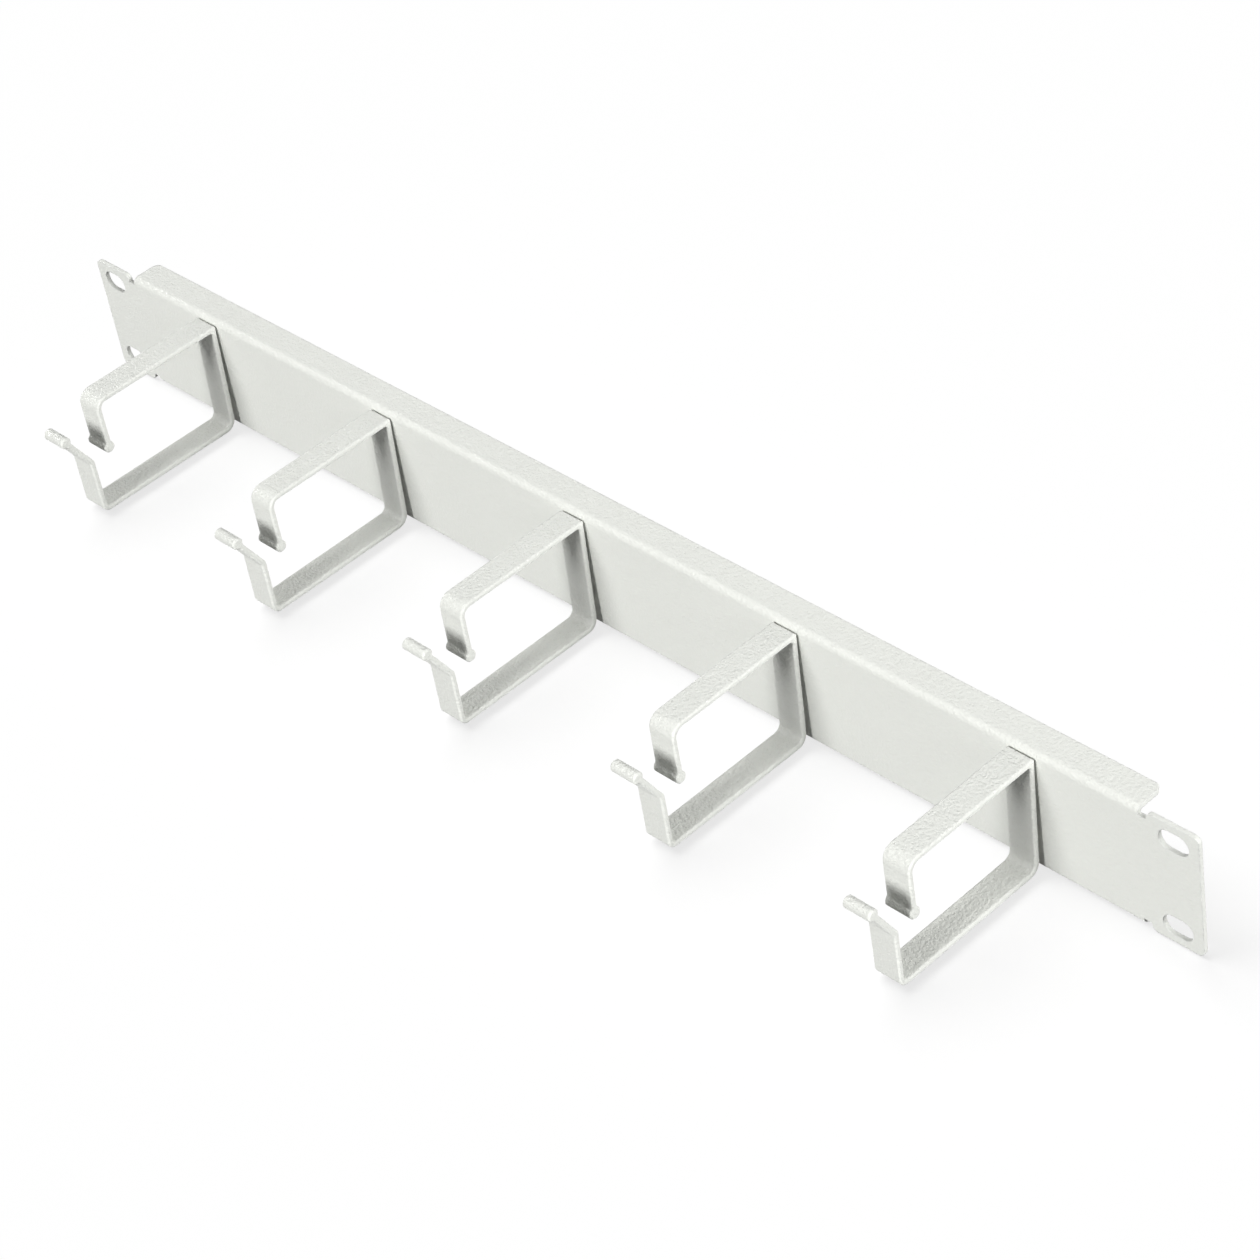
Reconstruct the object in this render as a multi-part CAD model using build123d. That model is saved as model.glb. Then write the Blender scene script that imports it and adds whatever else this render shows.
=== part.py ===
"""Horizontal cable manager for a 19 inch rack, one rack unit high.

A folded sheet panel is bolted to the front of the rack posts by the slots in its two ears.
Five flat strips, bent into open hooks, are spot welded in a row on its front face. Patch
cords are laid in through the narrow mouth at the front of each hook and lie along the row.

Millimetres. X runs along the panel, +Y goes back into the rack and +Z is up. The origin is
the centre of the four rack slots, on the rear face of the ears, where they meet the posts.
"""

from build123d import *
import math
import os

# Front panel: one steel sheet, folded back along its top and bottom edges
PANEL_WIDTH = 482.6
PANEL_HEIGHT = 44.0
SHEET = 1.5
BEND_INNER = 0.8
FLANGE_DEPTH = 11.0
FLANGE_CORNER = 2.5
EAR_WIDTH = 18.0
EAR_CORNER = 2.0
RELIEF_WIDTH = 2.8
RELIEF_PAST_BEND = 0.2

# Rack slots: their centres stand this far in from the panel's ends and from its long edges,
# which puts them on the rack's own pitch of 465.1 by 31.75
SLOT_INSET_X = 8.75
SLOT_INSET_Z = 6.125
SLOT_LENGTH = 10.5
SLOT_WIDTH = 7.0

# Cable hooks: flat strip with broken edges. The end hooks stand in from the ends of the
# flanges, depths are forward from the panel face, the bends are inside radii, and the back
# leg leans away from the panel towards its foot.
HOOK_COUNT = 5
HOOK_INSET = 40.5
HOOK_BELOW_TOP = 1.5
HOOK_ABOVE_BOTTOM = 1.2
STRIP_WIDTH = 10.0
STRIP = 1.9
STRIP_EDGE = 0.5
UPPER_DEPTH = 52.3
MOUTH = 6.0
GAP_TOP = 0.35
GAP_BOTTOM = 2.1
CORNER_INNER = 1.0
CORNER_OUTER = 0.8
BEND_TOP_FRONT = 2.6
BEND_BOTTOM_BACK = 2.4
BEND_BOTTOM_FRONT = 1.2

# Guide lip: the outer leg leans forward above the mouth
LIP_START = -0.2
LIP_LEAN = 30.1
LIP_LENGTH = 14.7
LIP_BEND = 1.0

# Round beads that the strip's two ends are rolled into
BEAD_RADIUS = 1.98
BEAD_NECK = 0.8
BEAD_Z = 1.5

# Spot welds between each hook and the panel
WELD_PITCH = 24.0
WELD_RADIUS = 1.9

# Values that follow from the sizes above
BEND_OUTER = BEND_INNER + SHEET
PANEL_FRONT = -SHEET
FLANGE_REAR = PANEL_FRONT + FLANGE_DEPTH
FLANGE_LENGTH = PANEL_WIDTH - 2 * (EAR_WIDTH + RELIEF_WIDTH)
RELIEF_DEPTH = BEND_OUTER + RELIEF_PAST_BEND
SLOT_PITCH_X = PANEL_WIDTH - 2 * SLOT_INSET_X
SLOT_PITCH_Z = PANEL_HEIGHT - 2 * SLOT_INSET_Z
HOOK_PITCH = (FLANGE_LENGTH - 2 * HOOK_INSET) / (HOOK_COUNT - 1)
HOOK_TOP = PANEL_HEIGHT / 2 - HOOK_BELOW_TOP
HOOK_BOTTOM = HOOK_ABOVE_BOTTOM - PANEL_HEIGHT / 2
HALF_STRIP = STRIP / 2
LOWER_DEPTH = UPPER_DEPTH + MOUTH + STRIP


def folded_channel():
    """Middle of the panel: the face with a flange folded back from its top and bottom."""
    edge = PANEL_HEIGHT / 2 - SHEET / 2
    face = PANEL_FRONT + SHEET / 2
    fold = FilletPolyline(
        (FLANGE_REAR, edge),
        (face, edge),
        (face, -edge),
        (FLANGE_REAR, -edge),
        radius=BEND_INNER + SHEET / 2,
    )
    channel = extrude(Plane.YZ * trace(fold, SHEET), FLANGE_LENGTH / 2, both=True)
    upright = channel.edges().filter_by(Axis.Z)
    rear_corners = upright.filter_by_position(Axis.Y, FLANGE_REAR, FLANGE_REAR)
    return fillet(rear_corners, FLANGE_CORNER)


def flat_ears():
    """The unfolded ends of the sheet, with a relief notch beside each end of each fold."""
    places = GridLocations(PANEL_WIDTH - EAR_WIDTH, 0, 2, 1)
    outline = Sketch() + places * RectangleRounded(EAR_WIDTH, PANEL_HEIGHT, EAR_CORNER)
    necks = Rectangle(PANEL_WIDTH - 2 * EAR_WIDTH, PANEL_HEIGHT - 2 * RELIEF_DEPTH)
    necks -= Rectangle(FLANGE_LENGTH, PANEL_HEIGHT)
    return extrude(Plane.XZ * (outline + necks), SHEET)


def rack_slots():
    """Cutters for the four obround slots, longer across the rack than they are high."""
    places = GridLocations(SLOT_PITCH_X, SLOT_PITCH_Z, 2, 2)
    slots = Sketch() + places * SlotOverall(SLOT_LENGTH, SLOT_WIDTH)
    return extrude(Plane.XZ * slots, SHEET)


def front_panel():
    """The whole folded sheet in one piece."""
    return folded_channel() + flat_ears() - rack_slots()


def hook_line():
    """Middle line of a hook's strip, from the lip's bead round to the upper leg's bead.

    Drawn flat: x is depth, negative to the front, measured from the panel face, and y is Z.
    """
    lean = math.radians(LIP_LEAN)
    outer = -LOWER_DEPTH + HALF_STRIP
    upper = -UPPER_DEPTH + HALF_STRIP
    top = HOOK_TOP - HALF_STRIP
    bottom = HOOK_BOTTOM + HALF_STRIP
    return FilletPolyline(
        (outer - LIP_LENGTH * math.sin(lean), LIP_START + LIP_LENGTH * math.cos(lean)),
        (outer, LIP_START),
        (outer, bottom),
        (-GAP_BOTTOM - HALF_STRIP, bottom),
        (-GAP_TOP - HALF_STRIP, top),
        (upper, top),
        (upper, BEAD_Z),
        radius=(
            LIP_BEND + HALF_STRIP,
            BEND_BOTTOM_FRONT + HALF_STRIP,
            BEND_BOTTOM_BACK + HALF_STRIP,
            0,
            BEND_TOP_FRONT + HALF_STRIP,
        ),
    )


def eased(outline, corner, radius):
    """The outline with the vertex nearest to a corner rounded."""
    return fillet(outline.vertices().sort_by_distance(corner)[0], radius)


def beaded(outline, end, inward):
    """The outline with a round bead on one end of the strip, blended into both its faces."""
    outline += Plane(end, x_dir=inward, z_dir=(0, 0, 1)) * Circle(BEAD_RADIUS)
    necks = outline.vertices().sort_by_distance(end)[:2]
    return fillet(necks, BEAD_NECK)


def hook_outline():
    """Side view of a hook: constant strip, one square corner and a bead on each end."""
    line = hook_line()
    outline = trace(line, STRIP)
    outline = eased(outline, (-GAP_TOP, HOOK_TOP), CORNER_OUTER)
    outline = eased(outline, (-GAP_TOP - STRIP, HOOK_TOP - STRIP), CORNER_INNER)
    outline = beaded(outline, line @ 0, line % 0)
    return beaded(outline, line @ 1, -(line % 1))


def spot_weld(height):
    """Weld nugget between the panel face and the leaning back leg, at one height."""
    fall = (HOOK_TOP - height) / (HOOK_TOP - HOOK_BOTTOM)
    gap = GAP_TOP + fall * (GAP_BOTTOM - GAP_TOP)
    return extrude(Plane.XZ * Pos(0, height) * Circle(WELD_RADIUS), gap + HALF_STRIP)


def cable_hook():
    """One bent strip with its welds, standing on the plane y = 0 at x = 0."""
    strip = extrude(Plane.YZ * hook_outline(), STRIP_WIDTH / 2, both=True)
    sides = strip.faces().filter_by(Axis.X)
    strip = chamfer(sides.edges(), STRIP_EDGE)
    return strip + spot_weld(WELD_PITCH / 2) + spot_weld(-WELD_PITCH / 2)


os.makedirs("parts", exist_ok=True)
export_step(front_panel(), "parts/front_panel.step")

hook = cable_hook()
for number in range(HOOK_COUNT):
    across = (number - (HOOK_COUNT - 1) / 2) * HOOK_PITCH
    placed = Pos(across, PANEL_FRONT, 0) * hook
    export_step(placed, f"parts/cable_hook_{number + 1}.step")
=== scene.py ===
"""Looks of a horizontal cable manager for a 19 inch rack: a folded sheet panel with five
strip hooks welded on its front, all in one light grey powder coat."""

import math

import bpy
from mathutils import Matrix, Vector


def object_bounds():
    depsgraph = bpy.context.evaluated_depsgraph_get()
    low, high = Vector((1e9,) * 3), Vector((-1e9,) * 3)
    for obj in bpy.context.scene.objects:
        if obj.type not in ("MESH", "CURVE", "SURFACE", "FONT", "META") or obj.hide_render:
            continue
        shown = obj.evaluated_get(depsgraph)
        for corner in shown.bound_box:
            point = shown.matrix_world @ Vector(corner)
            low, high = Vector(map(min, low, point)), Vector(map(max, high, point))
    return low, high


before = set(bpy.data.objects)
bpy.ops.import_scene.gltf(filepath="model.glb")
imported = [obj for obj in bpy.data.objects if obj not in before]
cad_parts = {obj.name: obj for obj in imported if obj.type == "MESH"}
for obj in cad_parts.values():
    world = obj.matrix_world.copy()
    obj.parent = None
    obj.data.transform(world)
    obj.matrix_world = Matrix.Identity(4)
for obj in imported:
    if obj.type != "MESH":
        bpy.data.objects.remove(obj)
cad_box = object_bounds()


# The front panel is one sheet of 1.5 mm steel, punched, folded back along its top and bottom
# edges and powder coated. The baked coat has a fine orange peel that shows where light grazes
# the sheet and it rounds every cut edge. A pale painted highlight lies along every cut edge.
PANEL_GREY = (0.735, 0.745, 0.708)
# Painted highlight: the paler grey that every cut edge is mixed towards.
EDGE_HIGHLIGHT_GREY = (0.79, 0.80, 0.775)
DRIFT_SCALE = 28.0
DRIFT_TINT = 0.015
PEEL_SIZE = 0.0010
PEEL_SMOOTHNESS = 0.8
GRAIN_SIZE = 0.0005
GRAIN_ROUGHNESS = 0.6
GRAIN_SHARE = 0.5
PANEL_RELIEF = 0.00042
EDGE_ROUNDING = 0.0006
EDGE_SAMPLES = 8
EDGE_GAIN = 4.0
SATIN = 0.46
SATIN_RANGE = 0.1
COAT_GLOSS = 0.4
COAT_CHALK = 0.4


class Socket:
    """A node's output that Python expressions can use: each operator adds its Math node."""

    def __init__(self, tree, output=None):
        self.tree = tree
        self.output = output

    def add(self, kind, settings, sockets, output=0):
        """Any node, from its type, its settings and the values or links of its sockets."""
        node = self.tree.nodes.new(kind)
        for name, setting in settings.items():
            setattr(node, name, setting)
        for name, value in sockets.items():
            if isinstance(value, Socket):
                self.tree.links.new(value.output, node.inputs[name])
            else:
                node.inputs[name].default_value = value
        return Socket(self.tree, node.outputs[output])

    def show(self, kind):
        """Makes this shader the surface of its material or of the world."""
        end = self.tree.nodes.new(kind)
        self.tree.links.new(self.output, end.inputs["Surface"])

    def math(self, operation, first, second):
        return self.add("ShaderNodeMath", {"operation": operation}, {0: first, 1: second})

    def __add__(self, other):
        return self.math("ADD", self, other)

    def __radd__(self, other):
        return self.math("ADD", other, self)

    def __sub__(self, other):
        return self.math("SUBTRACT", self, other)

    def __rsub__(self, other):
        return self.math("SUBTRACT", other, self)

    def __mul__(self, other):
        return self.math("MULTIPLY", self, other)

    def __rmul__(self, other):
        return self.math("MULTIPLY", other, self)


def new_material(name):
    """An empty material, with the socket builder of its node tree."""
    material = bpy.data.materials.new(name)
    material.use_nodes = True
    material.node_tree.nodes.clear()
    return material, Socket(material.node_tree)


def powder_coat(name, relief):
    """Light grey polyester powder: satin, orange peel, rounded at cut edges, with a painted
    highlight there.
    """
    material, shader = new_material(name)
    place = shader.add("ShaderNodeTexCoord", {}, {}, "Object")
    peel = shader.add(
        "ShaderNodeTexVoronoi",
        {"feature": "SMOOTH_F1"},
        {"Vector": place, "Scale": 1 / PEEL_SIZE, "Smoothness": PEEL_SMOOTHNESS},
        "Distance",
    )
    grain = shader.add(
        "ShaderNodeTexNoise",
        {},
        {"Vector": place, "Scale": 1 / GRAIN_SIZE, "Roughness": GRAIN_ROUGHNESS},
    )
    drift = shader.add("ShaderNodeTexNoise", {}, {"Vector": place, "Scale": DRIFT_SCALE})
    rounded = shader.add(
        "ShaderNodeBevel", {"samples": EDGE_SAMPLES}, {"Radius": EDGE_ROUNDING}
    )
    flat = shader.add("ShaderNodeNewGeometry", {}, {}, "True Normal")
    agreed = shader.add(
        "ShaderNodeVectorMath", {"operation": "DOT_PRODUCT"}, {0: rounded, 1: flat}, "Value"
    )
    edge = shader.add(
        "ShaderNodeMath",
        {"operation": "MULTIPLY", "use_clamp": True},
        {0: 1.0 - agreed, 1: EDGE_GAIN},
    )
    bump = shader.add(
        "ShaderNodeBump",
        {},
        {
            "Distance": relief,
            "Height": peel * (1 - GRAIN_SHARE) + grain * GRAIN_SHARE,
            "Normal": rounded,
        },
    )
    darker = [(1 - DRIFT_TINT) * tone for tone in PANEL_GREY]
    lighter = [(1 + DRIFT_TINT) * tone for tone in PANEL_GREY]
    colour = {"data_type": "RGBA"}
    grey = shader.add(
        "ShaderNodeMix", colour, {"Factor": drift, 6: (*darker, 1.0), 7: (*lighter, 1.0)}, 2
    )
    # Painted highlight: the base colour turns paler along every cut edge, where the edge mask is
    # high.
    edge_highlit = shader.add(
        "ShaderNodeMix", colour, {"Factor": edge, 6: grey, 7: (*EDGE_HIGHLIGHT_GREY, 1.0)}, 2
    )
    coat = shader.add(
        "ShaderNodeBsdfPrincipled",
        {},
        {
            "Base Color": edge_highlit,
            "Roughness": SATIN + SATIN_RANGE * grain,
            "Specular IOR Level": COAT_GLOSS,
            "Diffuse Roughness": COAT_CHALK,
            "Normal": bump,
        },
    )
    coat.show("ShaderNodeOutputMaterial")
    return material


def finish_node(node, material):
    """A CAD piece as it is, with its finish."""
    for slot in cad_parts[node].material_slots:
        slot.material = material


finish_node("front_panel", powder_coat("panel_powder_coat", PANEL_RELIEF))


# The five cable hooks are flat steel strip, bent to an open loop with a bead rolled at each
# end, and spot welded to the panel. They are coated with it, and the coat lies thicker and
# rougher on the narrow strip.
HOOK_RELIEF = 0.0006
HOOKS = [name for name in sorted(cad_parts) if name.startswith("cable_hook")]
hook_coat = powder_coat("hook_powder_coat", HOOK_RELIEF)
for hook in HOOKS:
    finish_node(hook, hook_coat)


# The studio floor is a pale sheet, lit through from below, that the panel stands on. It is
# seen as white and keeps pale soft shadows of the hooks, and it throws little light back up.
FLOOR_SIZE = 8.0
FLOOR_DROP = 0.0006
SHADOW_SHARE = 0.24
PAPER_WHITE = 0.97
UNSEEN_GREY = 0.12
lowest, highest = cad_box
bpy.ops.object.select_all(action="DESELECT")
bpy.ops.mesh.primitive_plane_add(
    size=FLOOR_SIZE, location=(0, 0, lowest[2] - FLOOR_DROP)
)
floor = bpy.context.object
floor.name = "studio_floor"
bpy.ops.object.transform_apply(location=True, rotation=True, scale=True)


def seen_white(tree):
    """1 for the rays that show a backdrop: camera, glossy and transmission, otherwise 0."""
    camera_ray = tree.add("ShaderNodeLightPath", {}, {}, "Is Camera Ray")
    glossy_ray = tree.add("ShaderNodeLightPath", {}, {}, "Is Glossy Ray")
    through_ray = tree.add("ShaderNodeLightPath", {}, {}, "Is Transmission Ray")
    either = tree.math("MAXIMUM", camera_ray, glossy_ray)
    return tree.math("MAXIMUM", either, through_ray)


def matt(tree, shade):
    """A flat neutral surface of one shade."""
    return tree.add("ShaderNodeBsdfDiffuse", {}, {"Color": (shade, shade, shade, 1.0)})


floor_paper, paper = new_material("floor_paper")
lit_through = paper.add("ShaderNodeEmission", {}, {"Color": (1.0, 1.0, 1.0, 1.0)})
pale = paper.add(
    "ShaderNodeMixShader", {}, {0: SHADOW_SHARE, 1: lit_through, 2: matt(paper, PAPER_WHITE)}
)
sheet = paper.add(
    "ShaderNodeMixShader", {}, {0: seen_white(paper), 1: matt(paper, UNSEEN_GREY), 2: pale}
)
sheet.show("ShaderNodeOutputMaterial")
floor.data.materials.append(floor_paper)


# The studio light on the panel and hooks is a narrow key lamp straight in front, a soft box
# near the right end just behind the panel's face, and low lamps behind and on the left. One
# wide lamp high on the left gives the floor its soft shadows. The room adds a dim even fill.
ROOM_FILL = 0.05


def towards(bearing, height):
    """Direction to a lamp: its bearing from the front round to the right, and its height."""
    level = math.cos(math.radians(height))
    return Vector((
        math.sin(math.radians(bearing)) * level,
        -math.cos(math.radians(bearing)) * level,
        math.sin(math.radians(height)),
    ))


def hang_lamp(lamp, direction, distance, lit):
    """Puts a lamp in the scene so that it faces the panel, for one collection of objects."""
    holder = bpy.data.objects.new(lamp.name, lamp)
    holder.location = distance * direction
    holder.rotation_euler = direction.to_track_quat("Z", "Y").to_euler()
    holder.light_linking.receiver_collection = lit
    bpy.context.scene.collection.objects.link(holder)


def distant_box(name, bearing, height, strength, spread, lit):
    """A soft box so far off that it lights the whole row alike."""
    lamp = bpy.data.lights.new(name, "SUN")
    lamp.energy = strength
    lamp.angle = math.radians(spread)
    hang_lamp(lamp, towards(bearing, height), 0, lit)


def near_box(name, bearing, height, strength, spread, distance, lit):
    """A round soft box near enough that its light falls off along the row."""
    lamp = bpy.data.lights.new(name, "AREA")
    lamp.shape = "DISK"
    lamp.size = 2 * distance * math.tan(math.radians(spread / 2))
    lamp.energy = strength * math.pi * distance**2
    hang_lamp(lamp, towards(bearing, height), distance, lit)


pieces = bpy.data.collections.new("pieces_lit")
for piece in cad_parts.values():
    pieces.objects.link(piece)
ground = bpy.data.collections.new("floor_lit")
ground.objects.link(floor)
distant_box("key_light", bearing=0, height=23, strength=2.95, spread=20, lit=pieces)
near_box("side_light", bearing=95, height=27, strength=3.25, spread=30, distance=3.5, lit=pieces)
distant_box("back_light", bearing=185, height=7, strength=1.6, spread=12, lit=pieces)
distant_box("left_light", bearing=268, height=6, strength=1.4, spread=12, lit=pieces)
distant_box("floor_light", bearing=285, height=62, strength=3.45, spread=50, lit=ground)
room = bpy.data.worlds.new("room")
bpy.context.scene.world = room
room.use_nodes = True
room.node_tree.nodes.clear()
air = Socket(room.node_tree)
glow = air.add(
    "ShaderNodeBackground",
    {},
    {"Color": (1.0, 1.0, 1.0, 1.0), "Strength": ROOM_FILL + (1 - ROOM_FILL) * seen_white(air)},
)
glow.show("ShaderNodeOutputWorld")
bpy.context.scene.view_settings.view_transform = "Standard"


# The camera stands at the front right, above the panel, and looks down along its row of
# hooks. RIGHT, UP and BACK are the directions of its own three axes.
LENS = 101.757
SENSOR = 36.0
STAND = (0.690563, -0.523353, 0.677999)
RIGHT = (0.692954, 0.707245, -0.140068)
UP = (-0.380682, 0.523898, 0.761979)
BACK = (0.612288, -0.474695, 0.632272)
lens = bpy.data.cameras.new("camera")
lens.sensor_width = SENSOR
lens.lens = LENS
camera = bpy.data.objects.new("camera", lens)
turned = Matrix((RIGHT, UP, BACK)).transposed().to_4x4()
camera.matrix_world = Matrix.Translation(STAND) @ turned
bpy.context.scene.collection.objects.link(camera)
bpy.context.scene.camera = camera
